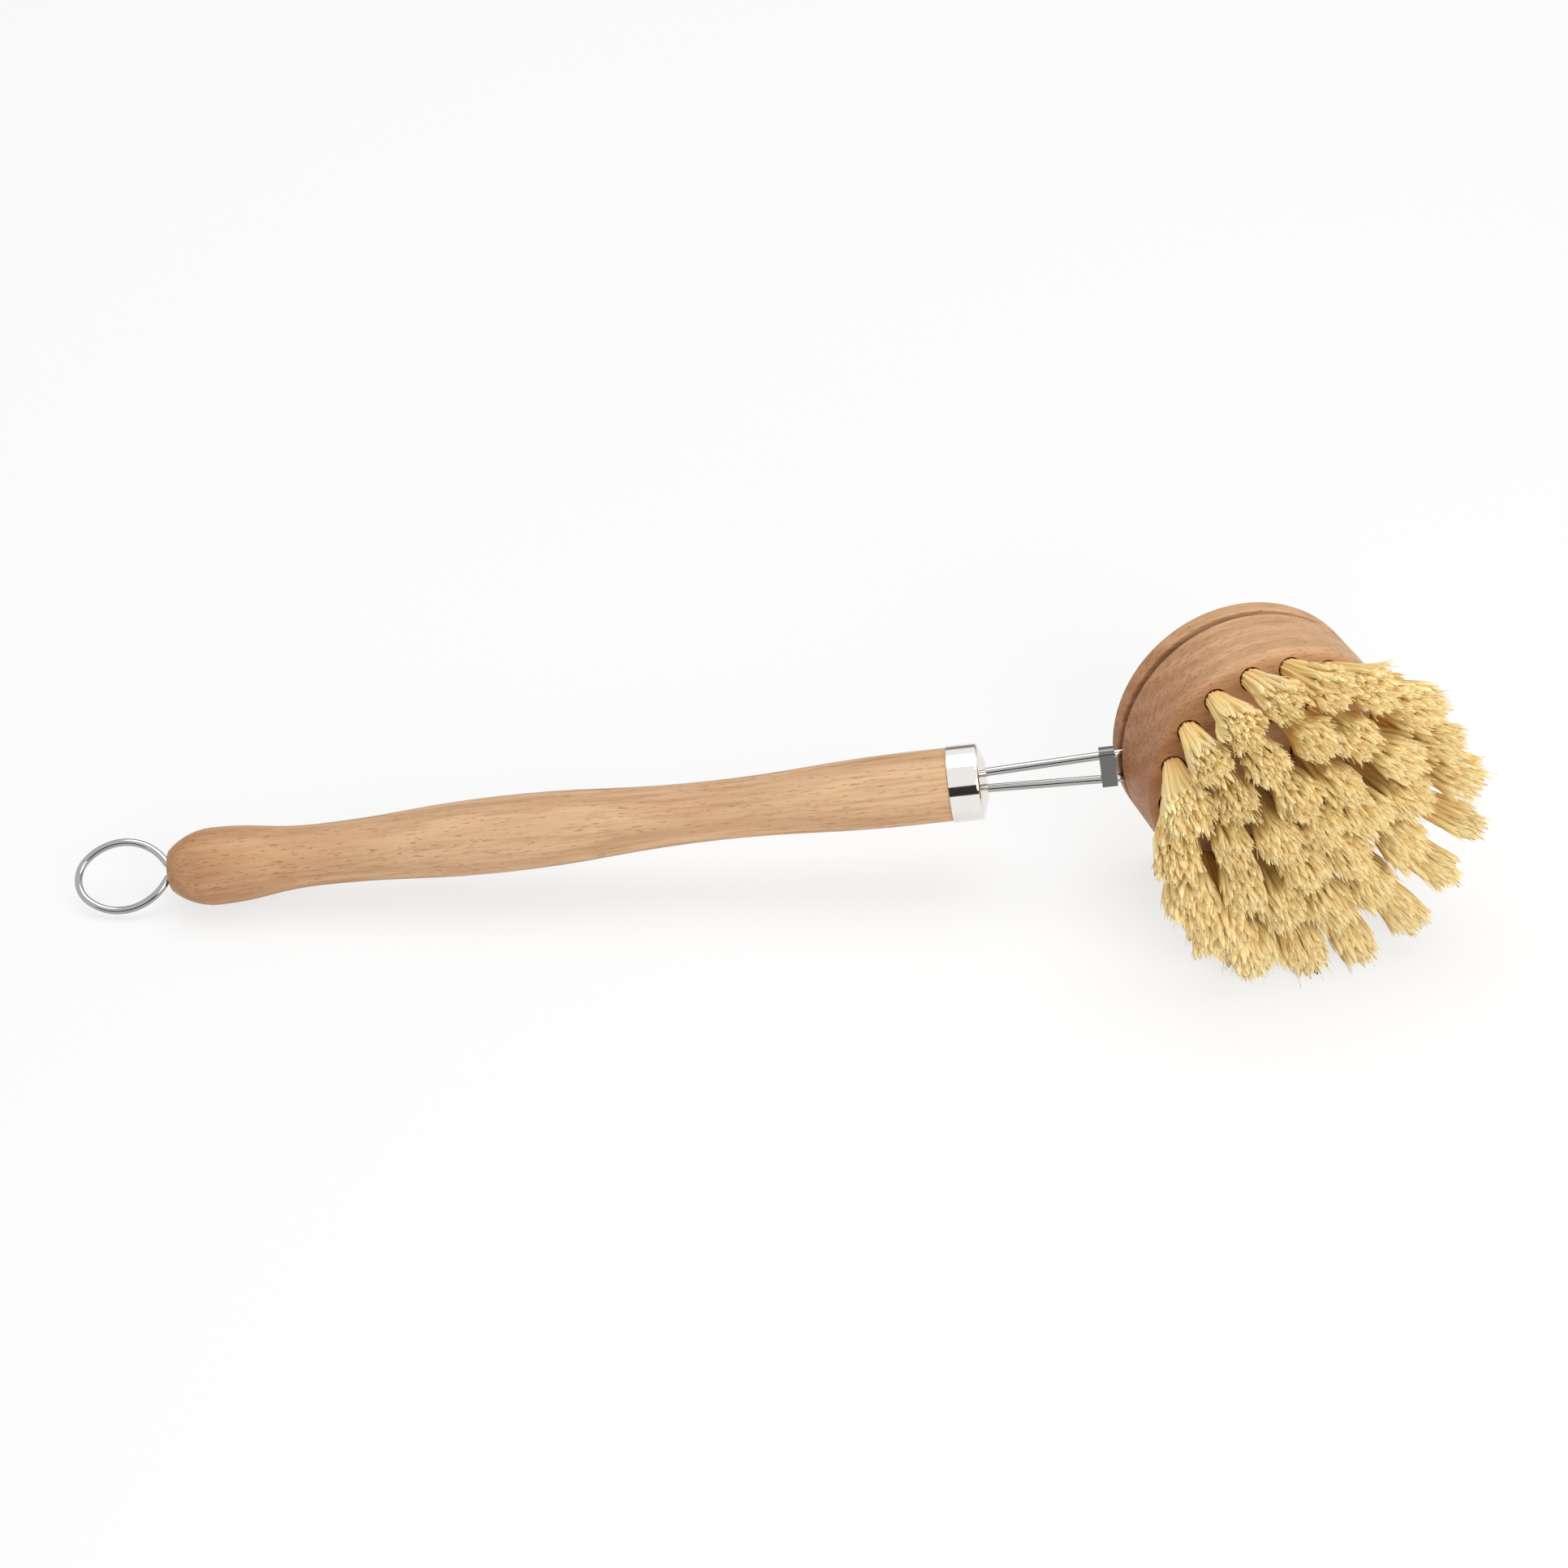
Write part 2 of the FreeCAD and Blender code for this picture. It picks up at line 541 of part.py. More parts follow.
# Tufts: a root in the hole, folded around its strip, and a flared bundle outside.
STRIP_AT = "(sizes.fold_thickness - sizes.tuft_hole_depth)"
strips = []
for name, frame in tuft_places:
    root = doc.addObject("Part::Cylinder", name + "_root")
    root.setExpression("Radius", "sizes.tuft_hole_dia / 2 - sizes.tuft_fit")
    root.setExpression("Height", "sizes.tuft_hole_depth - sizes.tuft_fit")
    root.setExpression("Placement.Base.z", "sizes.tuft_fit - sizes.tuft_hole_depth")
    flare = doc.addObject("Part::Cone", name + "_flare")
    flare.setExpression("Radius1", "sizes.tuft_hole_dia / 2 - sizes.tuft_fit")
    flare.setExpression("Radius2", TIP_RADIUS)
    flare.setExpression("Height", "sizes.tuft_length")
    bundle = doc.addObject("Part::Fuse", name + "_bundle")
    bundle.Base = root
    bundle.Tool = flare
    slot = doc.addObject("Part::Box", name + "_slot")
    slot.setExpression("Length", "sizes.anchor_thickness + 2 * sizes.anchor_fit")
    slot.setExpression("Width", "2 * sizes.tuft_hole_dia")
    slot.setExpression("Height", "sizes.anchor_height + 2 * sizes.anchor_fit")
    slot.setExpression("Placement.Base.x", "-sizes.anchor_thickness / 2 - sizes.anchor_fit")
    slot.setExpression("Placement.Base.y", "-sizes.tuft_hole_dia")
    slot.setExpression("Placement.Base.z", STRIP_AT + " - sizes.anchor_fit")
    tuft = doc.addObject("Part::Cut", name)
    tuft.Label = name
    tuft.Base = bundle
    tuft.Tool = slot
    parts[name] = (tuft, head_frame * frame)
    strip = doc.addObject("Part::Box", name.replace("tuft", "strip"))
    strip.setExpression("Length", "sizes.anchor_thickness")
    strip.setExpression("Width", "sizes.tuft_hole_dia + 2 * sizes.anchor_bite")
    strip.setExpression("Height", "sizes.anchor_height")
    strip_end = size("tuft_hole_dia") / 2 + size("anchor_bite")
    corner = Vector(-size("anchor_thickness") / 2, -strip_end, number(STRIP_AT))
    strip.Placement = frame * Placement(corner, Rotation())
    strips.append(strip)
anchors = doc.addObject("Part::Compound", "tuft_anchors")
anchors.Label = "tuft_anchors"
anchors.Links = strips
parts["tuft_anchors"] = (anchors, head_frame)

# Hanging loop: two tangs side by side in the rear hole and an egg-shaped eye of tangent arcs.
roll = math.radians(size("loop_roll_angle"))
rear = Vector(-size("handle_length"), 0, 0)
behind = Vector(-1, 0, 0)
beside = Vector(0, math.sin(roll), math.cos(roll))
half_width = (size("loop_width") - size("loop_wire_dia")) / 2
end_radius = half_width * size("loop_end_ratio")
end_at = size("loop_reach") - size("loop_wire_dia") / 2 - end_radius
neck_half = size("loop_neck_gap") / 2
bend = size("loop_bend")


def widest_at(radius):
    # How far behind the wood a side arc of this radius, tangent to its bend, is widest.
    return math.sqrt((half_width - neck_half) * (2 * radius + 2 * bend + neck_half - half_width))


def end_from(radius):
    # Where the end arc has its centre when it is tangent to side arcs of this radius.
    return widest_at(radius) + math.sqrt((half_width - end_radius) * (2 * radius - end_radius - half_width))


least = (half_width + end_radius) / 2
most = 100 * half_width
for step in range(80):
    side_radius = (least + most) / 2
    if end_from(side_radius) < end_at:
        least = side_radius
    else:
        most = side_radius
side_at = widest_at(side_radius)
side_drop = side_radius - half_width
flare_angle = math.atan2(side_at, neck_half + bend + side_drop)
end_angle = math.atan2(side_drop, end_at - side_at)


def loop_point(back, side):
    return rear + behind * back + beside * side


def loop_side(side):
    # Tang, bend and side arc on one side, up to where the end arc begins.
    def bent(turn):
        return loop_point(bend * math.sin(turn), side * (neck_half + bend - bend * math.cos(turn)))

    tang_end = loop_point(-size("loop_tang"), side * neck_half)
    widest = loop_point(side_at, side * half_width)
    joins_at = end_at + end_radius * math.cos(end_angle)
    joins = loop_point(joins_at, side * end_radius * math.sin(end_angle))
    return [tang_end, bent(0), bent(flare_angle / 2), bent(flare_angle), widest, joins]


upper = loop_side(1)
lower = loop_side(-1)
swept = sweep_wire("hanging_loop", [
    line(upper[0], upper[1]),
    arc(upper[1], upper[2], upper[3]),
    arc(upper[3], upper[4], upper[5]),
    arc(upper[5], loop_point(end_at + end_radius, 0), lower[5]),
    arc(lower[5], lower[4], lower[3]),
    arc(lower[3], lower[2], lower[1]),
    line(lower[1], lower[0]),
], "loop_wire_dia")
swept.Label = "hanging_loop"
parts["hanging_loop"] = (swept, Placement())

# The brush lies on the flange, on the tips of the outer tufts and on the bulb of the handle: the
# upward normal is turned until those three come down to the same level.
outer_tips = []
for i in range(int(size("tuft_rings")) * int(size("tufts_per_step"))):
    turn = 360.0 * i / (size("tuft_rings") * size("tufts_per_step"))
    frame = head_frame * tuft_frame(size("tuft_rings") * tuft_pitch, turn)
    tip = frame.multVec(Vector(0, 0, size("tuft_length")))
    outer_tips.append((tip, frame.Rotation.multVec(Vector(0, 0, 1))))


def disc_level(centre, axis, radius, up):
    return centre.dot(up) - radius * math.sqrt(max(1 - axis.dot(up) ** 2, 0))


def levels(up):
    edge = size("flange_edge")
    rim_centre = back_centre + bristle_axis * edge
    flange = disc_level(rim_centre, bristle_axis, size("head_dia") / 2 - edge, up) - edge
    tips = min(disc_level(centre, axis, tip_radius, up) for centre, axis in outer_tips)
    bulb = rear + Vector(size("bulb_at"), 0, 0)
    end_arc = number(END_ARC)
    stick = disc_level(bulb, Vector(1, 0, 0), size("bulb_dia") / 2 - end_arc, up) - end_arc
    return flange - tips, flange - stick


def upward(pitch, tilt):
    return Vector(pitch, tilt, 1).normalize()


pitch = 0.0
tilt = 0.0
nudge = 1e-5
for step in range(30):
    a, b = levels(upward(pitch, tilt))
    a_pitch, b_pitch = levels(upward(pitch + nudge, tilt))
    a_tilt, b_tilt = levels(upward(pitch, tilt + nudge))
    m11, m12 = (a_pitch - a) / nudge, (a_tilt - a) / nudge
    m21, m22 = (b_pitch - b) / nudge, (b_tilt - b) / nudge
    det = m11 * m22 - m12 * m21
    pitch -= (a * m22 - b * m12) / det
    tilt -= (b * m11 - a * m21) / det
up = upward(pitch, tilt)
forward = (Vector(1, 0, 0) - up * up.x).normalize()
lay = Placement(Vector(), Rotation(forward, up.cross(forward), up, "ZXY").inverted())


def place_all(where):
    for item, local in parts.values():
        item.Placement = where * local
    doc.recompute()


place_all(lay)
boxes = [item.Shape.optimalBoundingBox(False) for item, local in parts.values()]
low = [min(getattr(box, key) for box in boxes) for key in ("XMin", "YMin", "ZMin")]
high = [max(getattr(box, key) for box in boxes) for key in ("XMax", "YMax")]
lay.Base = Vector(-(low[0] + high[0]) / 2, -(low[1] + high[1]) / 2, -low[2])
place_all(lay)

for item in doc.Objects:
    if "Invalid" in item.State or "Error" in item.State:
        raise RuntimeError("%s failed to build" % item.Label)
for name, (item, local) in parts.items():
    if item.Shape.isNull() or not item.Shape.isValid() or not item.Shape.Solids:
        raise RuntimeError("%s has no valid shape" % name)

os.makedirs("parts", exist_ok=True)
for name, (item, local) in parts.items():
    item.Shape.exportStep("parts/%s.step" % name)


def tell(label, vector):
    print(label, [round(value, 6) for value in vector])


print("overall", [round(high[0] - low[0], 3), round(high[1] - low[1], 3)], "pieces", len(parts))
tell("handle direction", lay.Rotation.multVec(Vector(1, 0, 0)))
tell("bristle direction", lay.Rotation.multVec(bristle_axis))
tell("across direction", lay.Rotation.multVec(side_axis))
tell("ring centre", lay.multVec(ring_centre))
tell("head back centre", lay.multVec(back_centre))
tell("upper wire mouth", lay.multVec(Vector(0, 0, root_half)))
tell("lower wire mouth", lay.multVec(Vector(0, 0, -root_half)))
tell("sleeve middle", lay.multVec(Vector(sleeve_from + size("sleeve_length") / 2, 0, 0)))
tell("loop eye centre", lay.multVec(loop_point(side_at, 0)))
tell("loop normal", lay.Rotation.multVec(Vector(1, 0, 0).cross(beside)))
print("sleeve way back", round(sleeve_from - number(CAP_OUT) + size("ferrule_skirt"), 3))
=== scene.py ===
import json
import math

import bpy
import numpy as np
from mathutils import Matrix, Vector


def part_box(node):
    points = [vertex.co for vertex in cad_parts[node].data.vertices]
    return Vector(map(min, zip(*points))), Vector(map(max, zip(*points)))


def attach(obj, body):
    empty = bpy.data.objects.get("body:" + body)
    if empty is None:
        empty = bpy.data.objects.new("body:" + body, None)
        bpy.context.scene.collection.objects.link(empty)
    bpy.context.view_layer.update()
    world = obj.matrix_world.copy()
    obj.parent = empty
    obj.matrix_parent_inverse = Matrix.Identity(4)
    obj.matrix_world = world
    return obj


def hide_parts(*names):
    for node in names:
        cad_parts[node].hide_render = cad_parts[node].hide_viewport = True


# Looks of a washing-up brush that lies on its side: turned beech, bright metal and plant fibre.
# Lengths are in metres in the frame of the part, and MM turns millimetres into them.

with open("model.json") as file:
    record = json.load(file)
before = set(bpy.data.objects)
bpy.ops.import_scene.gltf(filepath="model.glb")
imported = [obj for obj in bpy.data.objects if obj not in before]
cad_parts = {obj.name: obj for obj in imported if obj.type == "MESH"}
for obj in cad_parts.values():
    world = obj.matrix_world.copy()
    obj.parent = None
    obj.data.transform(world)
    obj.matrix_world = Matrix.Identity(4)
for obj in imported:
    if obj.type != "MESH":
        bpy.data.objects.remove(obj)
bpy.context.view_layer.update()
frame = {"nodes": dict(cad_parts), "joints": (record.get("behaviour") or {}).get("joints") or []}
nodes = frame["nodes"]
joints = {joint["name"]: joint for joint in frame["joints"]}
MM = 0.001

# Directions and places that the joints give.
bristle_axis = Vector(joints["head_turn"]["axis"]).normalized()
ring_centre = Vector(joints["head_turn"]["pos_m"])
handle_axis = -Vector(joints["sleeve_slide"]["axis"]).normalized()
away_axis = (handle_axis - bristle_axis * handle_axis.dot(bristle_axis)).normalized()
side_axis = bristle_axis.cross(away_axis)

# Sizes of the head that the tufts are set out from.
RING_DEPTH = 5.05 * MM
HEAD_DEPTH = 26.0 * MM
DOME_RADIUS = 78.0 * MM
TUFT_PITCH = 7.15 * MM
TUFT_RINGS = (("inner", 6), ("middle", 12), ("outer", 18))
TUFT_LENGTH = 21.5 * MM
back_centre = ring_centre - bristle_axis * RING_DEPTH

# One tuft: its fan, its lean, and the dome that its ends form. Steps along it are shares of its length,
# with zero at the mouth of its hole.
FIRST_SEED = 700
ROOT_RADIUS = 2.1 * MM
FAN_RADIUS = 4.7 * MM
FAN_SPREAD = 0.3 * MM
FAN_STEADY = 0.7
FAN_LATE = 0.3
TUFT_LEAN = 0.45 * MM
END_TOP = 1.04
END_DOME = 0.12
END_JITTER = 0.05
END_RANGE = (0.75, 1.08)
FLOOR_GAP = 0.02 * MM

# Ridged locks of fibre, side by side, that close to a blunt ragged end.
LOCKS = 84
LOCK_SIDES = 6
LOCK_STEPS = (-0.14, 0.0, 0.25, 0.5, 0.72, 0.86, 0.95, 1.0)
LOCK_ROOTS = 0.85
LOCK_FILL = 1.5
LOCK_RIDGE = 0.12
LOCK_END = (0.7, 0.87, 0.96, 1.0)
LOCK_CLOSE = (1.0, 0.8, 0.5, 0.12)
LOCK_RAGGED = 0.5 * MM
RAGGED_FROM = 0.7
RAGGED_OVER = 0.25
LOCK_LEAN = 0.4 * MM
LOCK_SWAY = 0.3 * MM
SWAY_PACE = (0.7, 1.4)

# Loose fibres along the ends of the locks.
FIBRES = 320
FIBRE_SIDES = 3
FIBRE_STEPS = 5
FIBRE_RADIUS = 0.1 * MM
FIBRE_THICK = (0.8, 1.15)
FIBRE_ROOT = 1.3
FIBRE_TAPER = 0.5
FIBRE_FROM = 0.55
FIBRE_TO = 0.99
FIBRE_JITTER = 0.03
FIBRE_BESIDE = (0.15, 1.1)
FIBRE_STRAY = 0.3 * MM

# Shares of a fibre's tone that come from its lock and from itself.
TONE_OF_LOCK = 0.4
TONE_OF_FIBRE = 0.6

# Texture map: strips of locks below, strips of fibres above, each strip inside an edge of its cell.
LOCK_COLUMNS = 14
FIBRE_COLUMNS = 20
LOCK_BAND = 0.6
CELL_EDGE = 0.1
CELL_FILL = 0.8
CAP_MIDDLE = 0.3
CAP_RADIUS = 0.2

# Tufts of the outer ring differ around the head. On the handle's side they fan wide and tuck in, where
# the brush is pressed on the table they splay, and on the far side they stay narrow and lean out.
WIDE_TURN = math.radians(235)
WIDE_FAN = 1.1 * MM
SPLAY_TURN = math.radians(236)
SPLAY_LEAN = 1.4 * MM
TUCK_TURN = math.radians(160)
TUCK_LEAN = 1.1 * MM
NARROW_TURN = math.radians(322)
NARROW_FAN = 1.4 * MM
NARROW_LEAN = 2.5 * MM
NARROW_SWING = 0.6 * MM

# Scales of the patterns: wood along and across the grain, metal, and fibre across and along its strip.
RING_STRETCH = (0.10, 1.0, 1.0)
STREAK_SCALE = (55.0, 1100.0, 1100.0)
FLECK_SCALE = (420.0, 2900.0, 2900.0)
PATCH_SCALE = (14.0, 90.0, 90.0)
MARK_SCALE = (900.0, 2600.0, 2600.0)
HAZE_SCALE = (120.0, 120.0, 120.0)
STRIP_SCALE = (260.0, 9.0, 1.0)
WORN_SHARE = 0.9

# Stage: a pale floor, and upright cards that only the metal reflects, dark in front and grey behind.
WHITE = (1.0, 1.0, 1.0, 1.0)
FLOOR_HALF = 4.0
FLOOR_COLOUR = (0.86, 0.86, 0.86, 1.0)
FLOOR_GLOW = 0.7
CARD_HALF = 1.3
CARD_ROUGHNESS = 0.9
WORLD_LIGHT = 0.5
WORLD_SEEN = 1.0

# Camera at the photograph's angle.
CAMERA_PLACE = Vector((40.889, -483.644, 400.96)) * MM
CAMERA_BACK = Vector((0.05615, -0.79199, 0.60795))
CAMERA_UP = Vector((0.03655, 0.61013, 0.79146))
CAMERA_LENS = 75.487
CAMERA_SENSOR = 36.0
CAMERA_NEAR = 0.01


def connect(tree, value, socket):
    if isinstance(value, bpy.types.NodeSocket):
        tree.links.new(value, socket)
    else:
        socket.default_value = value


def add(tree, kind, inputs=None, **settings):
    node = tree.nodes.new("ShaderNode" + kind)
    for key, value in settings.items():
        setattr(node, key, value)
    for key, value in (inputs or {}).items():
        connect(tree, value, node.inputs[key])
    return node


def mix(tree, factor, first, second, blend="MIX"):
    # Colour between first (factor 0) and second (factor 1).
    node = add(tree, "Mix", data_type="RGBA", blend_type=blend)
    for index, value in ((0, factor), (6, first), (7, second)):
        connect(tree, value, node.inputs[index])
    return node.outputs[2]


def span(tree, value, low, high, to_low=0.0, to_high=1.0):
    # The value between low and high, spread over another range and held at its ends.
    node = add(tree, "MapRange", {"Value": value, "From Min": low, "From Max": high})
    node.inputs["To Min"].default_value = to_low
    node.inputs["To Max"].default_value = to_high
    return node.outputs["Result"]


def noise(tree, vector, detail=2.0, roughness=0.5):
    inputs = {"Vector": vector, "Scale": 1.0, "Detail": detail, "Roughness": roughness}
    return add(tree, "TexNoise", inputs).outputs["Fac"]


def scaled(tree, vector, scale):
    node = add(tree, "VectorMath", {0: vector, 1: scale}, operation="MULTIPLY")
    return node.outputs["Vector"]


def roughen(tree, shader, height, strength, distance, invert=False):
    bump = add(tree, "Bump", {"Height": height, "Strength": strength, "Distance": distance}, invert=invert)
    connect(tree, bump.outputs["Normal"], shader.inputs["Normal"])


def new_material(name):
    material = bpy.data.materials.new(name)
    material.use_nodes = True
    return material, material.node_tree, material.node_tree.nodes["Principled BSDF"]


def grain_coordinates(tree, origin, grain):
    # Object coordinates turned so that X runs along the grain.
    cross = grain.orthogonal().normalized()
    turn = Matrix((grain, cross, grain.cross(cross))).to_euler()
    place = add(tree, "TexCoord").outputs["Object"]
    moved = add(tree, "VectorMath", {0: place, 1: origin}, operation="SUBTRACT")
    return add(tree, "Mapping", {"Vector": moved.outputs["Vector"], "Rotation": turn}).outputs["Vector"]


def wood(name, origin, grain, light, middle, dark, ring_scale, painted_shade_tint, painted_shade_reach):
    # Solid wood: growth rings, fibre streaks and short dark flecks, all drawn out along the grain, and
    # a darker, redder tint that deepens towards the end on the grain's rear side. That tint is painted
    # shade for the side that gets less light; on the head it also stands for darker end grain.
    material, tree, shader = new_material(name)
    place = grain_coordinates(tree, origin, grain)
    ring_place = scaled(tree, place, RING_STRETCH)
    ring_inputs = {"Vector": ring_place, "Scale": ring_scale, "Distortion": 3.5, "Detail": 3.0}
    rings = add(tree, "TexWave", ring_inputs, wave_type="RINGS", rings_direction="X")
    streaks = noise(tree, scaled(tree, place, STREAK_SCALE), 4.0, 0.6)
    flecks = noise(tree, scaled(tree, place, FLECK_SCALE), 1.0)
    patches = noise(tree, scaled(tree, place, PATCH_SCALE), 2.0)
    tone = mix(tree, span(tree, rings.outputs["Fac"], 0.1, 0.9, 0.15, 0.75), light, middle)
    tone = mix(tree, span(tree, streaks, 0.42, 0.70, 0.0, 0.55), tone, dark)
    tone = mix(tree, span(tree, patches, 0.42, 0.62, 0.0, 0.45), tone, light)
    tone = mix(tree, span(tree, flecks, 0.62, 0.70, 0.0, 0.6), tone, dark)
    along = add(tree, "SeparateXYZ", {"Vector": place}).outputs["X"]
    # Painted shade: darker and redder towards the rear end of the grain, where less light falls.
    painted_shade_mask = span(tree, along, painted_shade_reach[0], painted_shade_reach[1], 1.0, 0.0)
    tone = mix(tree, painted_shade_mask, tone, mix(tree, 1.0, tone, painted_shade_tint, "MULTIPLY"))
    connect(tree, tone, shader.inputs["Base Color"])
    connect(tree, span(tree, streaks, 0.3, 0.7, 0.44, 0.62), shader.inputs["Roughness"])
    pores = add(tree, "Math", {0: streaks, 1: flecks}, operation="ADD").outputs["Value"]
    roughen(tree, shader, pores, 0.25, 0.12 * MM, invert=True)
    shader.inputs["Specular IOR Level"].default_value = 0.35
    return material


def bright_metal(name, colour, smooth, dull):
    # Plated metal with faint polishing marks.
    material, tree, shader = new_material(name)
    place = add(tree, "TexCoord").outputs["Object"]
    marks = noise(tree, scaled(tree, place, MARK_SCALE), 3.0, 0.6)
    haze = noise(tree, scaled(tree, place, HAZE_SCALE), 2.0)
    worn = [c * WORN_SHARE for c in colour[:3]] + [1.0]
    tone = mix(tree, span(tree, haze, 0.4, 0.7, 0.0, 0.5), colour, worn)
    connect(tree, tone, shader.inputs["Base Color"])
    connect(tree, span(tree, haze, 0.3, 0.7, smooth, dull), shader.inputs["Roughness"])
    roughen(tree, shader, marks, 0.05, 0.02 * MM)
    shader.inputs["Metallic"].default_value = 1.0
    return material


def plant_fibre():
    # Straw-coloured fibre: golden at the root, pale at the cut tip, each fibre with a tone of its own.
    material, tree, shader = new_material("plant_fibre")
    along = add(tree, "Attribute", attribute_name="along").outputs["Fac"]
    tone = add(tree, "Attribute", attribute_name="tone").outputs["Fac"]
    strip = add(tree, "UVMap", uv_map="OFBake").outputs["UV"]
    streak = noise(tree, scaled(tree, strip, STRIP_SCALE), 2.0)
    root = (0.97, 0.67, 0.27, 1.0)
    straw = (0.99, 0.775, 0.36, 1.0)
    tip = (1.0, 0.86, 0.5, 1.0)
    brown = (0.82, 0.47, 0.14, 1.0)
    colour = mix(tree, span(tree, along, 0.1, 0.6), root, straw)
    colour = mix(tree, span(tree, along, 0.72, 1.0), colour, tip)
    colour = mix(tree, span(tree, tone, 0.15, 0.42, 0.4, 0.0), colour, brown)
    colour = mix(tree, span(tree, tone, 0.6, 0.9, 0.0, 0.6), colour, tip)
    colour = mix(tree, span(tree, streak, 0.48, 0.66, 0.0, 0.3), colour, brown)
    connect(tree, colour, shader.inputs["Base Color"])
    connect(tree, span(tree, tone, 0.0, 1.0, 0.5, 0.65), shader.inputs["Roughness"])
    roughen(tree, shader, streak, 0.4, 0.15 * MM, invert=True)
    shader.inputs["Specular IOR Level"].default_value = 0.12
    return material


def tuft_axes(radius, turn):
    # Mouth of a tuft's hole on the dome, and the tuft's own radial, ring and outward directions.
    tilt = math.asin(radius / DOME_RADIUS)
    outwards = away_axis * math.cos(turn) + side_axis * math.sin(turn)
    axis = bristle_axis * math.cos(tilt) + outwards * math.sin(tilt)
    radial = outwards * math.cos(tilt) - bristle_axis * math.sin(tilt)
    mouth = back_centre + bristle_axis * (HEAD_DEPTH - DOME_RADIUS) + axis * DOME_RADIUS
    return mouth, radial, axis.cross(radial), axis


def opened(ahead):
    # Share of its fan that a tuft has opened to at this share of its length.
    return FAN_STEADY * ahead + FAN_LATE * ahead ** 2


def rim(sides):
    # Corners of a tube's section, on a circle of radius one.
    turns = np.arange(sides) * 2 * math.pi / sides
    return np.stack([np.cos(turns), np.sin(turns), 0 * turns], 1)


def set_locks(rng, fan, lean):
    # Roots and tips of a tuft's locks, spread evenly over its round section, with their lengths and sway.
    count = np.arange(LOCKS)
    reach = np.sqrt((count + 0.5) / LOCKS)
    golden_angle = math.pi * (3 - math.sqrt(5))
    spin = count * golden_angle + rng.uniform(0, 2 * math.pi)
    root = np.stack([np.cos(spin), np.sin(spin)], 1) * (reach * ROOT_RADIUS * LOCK_ROOTS)[:, None]
    tip = root * (fan / ROOT_RADIUS) + rng.normal(0, LOCK_LEAN, (LOCKS, 2)) + lean
    share = END_TOP - END_DOME * reach ** 2 + rng.normal(0, END_JITTER, LOCKS)
    length = TUFT_LENGTH * np.clip(share, *END_RANGE)
    sway = rng.normal(0, LOCK_SWAY, (LOCKS, 2))
    pace = rng.uniform(*SWAY_PACE, LOCKS)
    phase = rng.uniform(0, 1, LOCKS)
    return root, tip, length, sway, pace, phase


def lock_places(locks, which, step):
    # Places along the middle lines of chosen locks, in the tuft's own directions, the mouth at zero.
    root, tip, length, sway, pace, phase = [values[which] for values in locks]
    ahead = np.maximum(step, 0)
    wave = np.sin(2 * math.pi * (step * pace[:, None] + phase[:, None])) * np.clip(ahead, 0, 1)
    spread = (tip - root)[:, None] * opened(ahead)[:, :, None]
    flat = root[:, None] + spread + sway[:, None] * wave[:, :, None]
    height = length[:, None] * step
    return np.concatenate([flat, height[:, :, None]], 2)


def lock_radius(fan, step):
    ahead = np.clip(step, 0, 1)
    wide = ROOT_RADIUS + (fan - ROOT_RADIUS) * opened(ahead)
    return LOCK_FILL * wide / math.sqrt(LOCKS)


def lock_points(rng, locks, fan):
    # Ridged skins of the locks, and how far along the tuft each ring of points lies.
    step = np.tile(np.array(LOCK_STEPS), (LOCKS, 1))
    middle = lock_places(locks, np.arange(LOCKS), step)
    wide = lock_radius(fan, step) * np.interp(step, LOCK_END, LOCK_CLOSE)
    ridge = 1 + rng.normal(0, LOCK_RIDGE, (LOCKS, 1, LOCK_SIDES))
    points = middle[:, :, None] + (wide[:, :, None] * ridge)[:, :, :, None] * rim(LOCK_SIDES)
    ragged = rng.normal(0, LOCK_RAGGED, (LOCKS, 1, LOCK_SIDES))
    ragged = ragged + rng.normal(0, LOCK_RAGGED / 2, (LOCKS, len(LOCK_STEPS), LOCK_SIDES))
    points[:, :, :, 2] += ragged * np.clip((step - RAGGED_FROM) / RAGGED_OVER, 0, 1)[:, :, None]
    return points, np.clip(step, 0, 1)


def fibre_points(rng, locks, fan):
    # Loose fibres that lie on the locks and stand out past their ends, how far along the tuft each ring of
    # points lies, and the lock of each fibre.
    which = rng.integers(0, LOCKS, FIBRES)
    last = rng.normal(FIBRE_TO, FIBRE_JITTER, FIBRES)
    step = FIBRE_FROM + (last - FIBRE_FROM)[:, None] * np.linspace(0, 1, FIBRE_STEPS)
    spin = rng.uniform(0, 2 * math.pi, FIBRES)
    beside = lock_radius(fan, step) * np.sqrt(rng.uniform(*FIBRE_BESIDE, FIBRES))[:, None]
    middle = lock_places(locks, which, step)
    middle[:, :, 0] += beside * np.cos(spin)[:, None]
    middle[:, :, 1] += beside * np.sin(spin)[:, None]
    bent = ((step - FIBRE_FROM) / (1 - FIBRE_FROM))[:, :, None] ** 2
    middle[:, :, :2] += rng.normal(0, FIBRE_STRAY, (FIBRES, 1, 2)) * bent
    ahead = np.clip(step, 0, 1)
    thick = FIBRE_RADIUS * rng.uniform(*FIBRE_THICK, (FIBRES, 1)) * (FIBRE_ROOT - FIBRE_TAPER * ahead)
    return middle[:, :, None] + thick[:, :, None, None] * rim(FIBRE_SIDES), ahead, which


